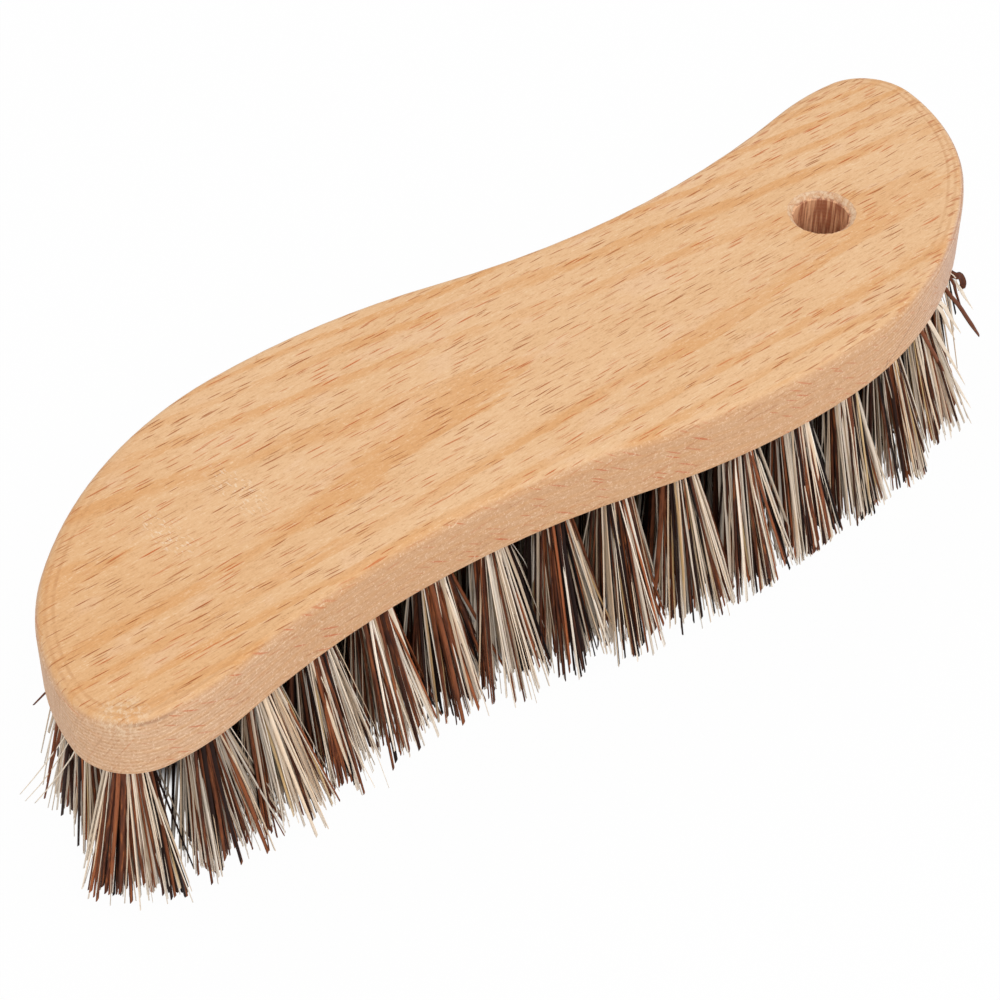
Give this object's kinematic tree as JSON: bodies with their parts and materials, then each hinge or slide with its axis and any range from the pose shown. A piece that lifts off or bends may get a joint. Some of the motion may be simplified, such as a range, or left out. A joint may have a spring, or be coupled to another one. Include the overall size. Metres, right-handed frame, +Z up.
{
  "type": "scrub brush",
  "caption": "S-shaped wooden scrub brush block with rows of stiff plant-fibre tufts held by wire anchors, and a hanging hole.",
  "frame": {"origin": "bottom centre of the whole brush's box, on the surface that the bristle tips stand on", "axes": "+X along the block towards the hanging hole, +Z up out of the smooth top face"},
  "size_m": [0.2131, 0.075, 0.042],
  "materials": {
    "beech": "matte",
    "plant_fibre": "matte",
    "steel_wire": "satin"
  },
  "bodies": {
    "root": {"block": "beech", "wire_anchors": "steel_wire", "outer_tuft_01": "plant_fibre", "outer_tuft_02": "plant_fibre", "outer_tuft_03": "plant_fibre", "outer_tuft_04": "plant_fibre", "outer_tuft_05": "plant_fibre", "outer_tuft_06": "plant_fibre", "outer_tuft_07": "plant_fibre", "outer_tuft_08": "plant_fibre", "outer_tuft_09": "plant_fibre", "outer_tuft_10": "plant_fibre", "outer_tuft_11": "plant_fibre", "outer_tuft_12": "plant_fibre", "outer_tuft_13": "plant_fibre", "outer_tuft_14": "plant_fibre", "outer_tuft_15": "plant_fibre", "outer_tuft_16": "plant_fibre", "outer_tuft_17": "plant_fibre", "outer_tuft_18": "plant_fibre", "outer_tuft_19": "plant_fibre", "outer_tuft_20": "plant_fibre", "outer_tuft_21": "plant_fibre", "outer_tuft_22": "plant_fibre", "outer_tuft_23": "plant_fibre", "outer_tuft_24": "plant_fibre", "outer_tuft_25": "plant_fibre", "outer_tuft_26": "plant_fibre", "outer_tuft_27": "plant_fibre", "outer_tuft_28": "plant_fibre", "outer_tuft_29": "plant_fibre", "outer_tuft_30": "plant_fibre", "outer_tuft_31": "plant_fibre", "outer_tuft_32": "plant_fibre", "outer_tuft_33": "plant_fibre", "outer_tuft_34": "plant_fibre", "outer_tuft_35": "plant_fibre", "outer_tuft_36": "plant_fibre", "inner_tuft_01": "plant_fibre", "inner_tuft_02": "plant_fibre", "inner_tuft_03": "plant_fibre", "inner_tuft_04": "plant_fibre", "inner_tuft_05": "plant_fibre", "inner_tuft_06": "plant_fibre", "inner_tuft_07": "plant_fibre", "inner_tuft_08": "plant_fibre", "inner_tuft_09": "plant_fibre", "inner_tuft_10": "plant_fibre", "inner_tuft_11": "plant_fibre", "inner_tuft_12": "plant_fibre", "inner_tuft_13": "plant_fibre", "inner_tuft_14": "plant_fibre", "inner_tuft_15": "plant_fibre", "inner_tuft_16": "plant_fibre", "inner_tuft_17": "plant_fibre", "inner_tuft_18": "plant_fibre", "inner_tuft_19": "plant_fibre", "inner_tuft_20": "plant_fibre", "inner_tuft_21": "plant_fibre", "inner_tuft_22": "plant_fibre"}
  },
  "joints": []
}
